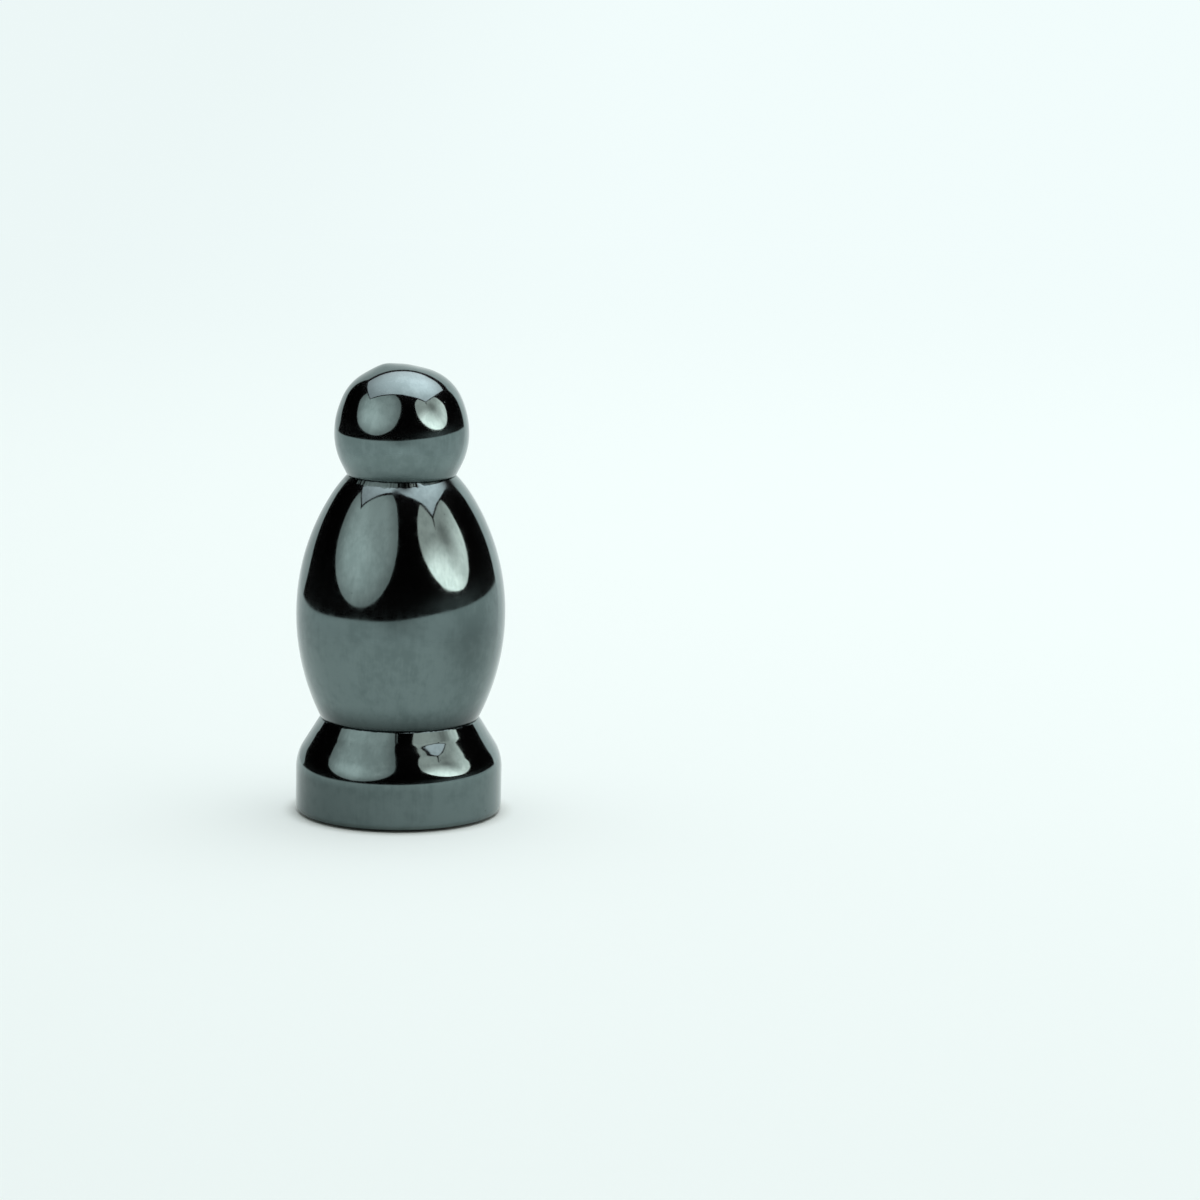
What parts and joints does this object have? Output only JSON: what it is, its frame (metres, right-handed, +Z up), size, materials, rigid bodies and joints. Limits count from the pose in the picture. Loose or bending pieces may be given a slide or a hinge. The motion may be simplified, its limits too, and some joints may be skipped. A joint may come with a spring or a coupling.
{
  "type": "game token",
  "caption": "Polished dark stone pawn for board games: a ball head on a barrel body and a flared foot, joined by a hidden pin, standing on a flat underside.",
  "frame": {"origin": "centre of the flat underside, on the table", "axes": "+Z up along the turned axis, from the foot to the head; X and Y are free, because the token is round"},
  "size_m": [0.0156, 0.0156, 0.034],
  "materials": {
    "polished_stone": "mirror polished hematite, dark steel grey, with the faint waves of hand grinding",
    "pin_steel": "drawn steel, hidden inside the stones"
  },
  "bodies": {
    "root": {"head": "polished_stone", "barrel": "polished_stone", "foot": "polished_stone", "core_pin": "pin_steel"}
  },
  "joints": []
}
